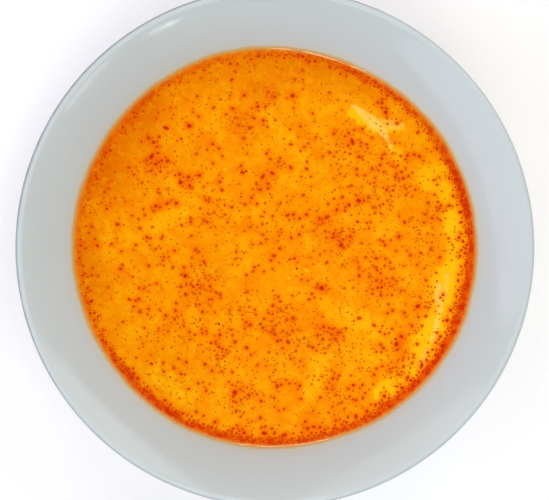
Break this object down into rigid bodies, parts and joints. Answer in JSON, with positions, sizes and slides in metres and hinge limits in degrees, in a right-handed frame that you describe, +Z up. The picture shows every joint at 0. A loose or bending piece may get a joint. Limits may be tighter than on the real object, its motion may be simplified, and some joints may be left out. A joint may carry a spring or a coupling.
{
  "type": "bowl of tripe soup",
  "caption": "Wide flared soup bowl on a foot ring, filled to below its rim with orange tripe soup under drops of chilli oil and flakes of pepper.",
  "frame": {"origin": "centre of the plane that the foot ring stands on", "axes": "+Z up out of the bowl, +X to the right and +Y to the top of the picture"},
  "size_m": [0.2, 0.2, 0.056],
  "materials": {
    "glazed_stoneware": "smooth pale grey-white glaze",
    "soup": "wet orange skin",
    "chilli_oil": "glossy red drops",
    "pepper": "dark brown ground flakes"
  },
  "bodies": {
    "root": {"bowl": "glazed_stoneware", "soup": "soup"}
  },
  "joints": []
}
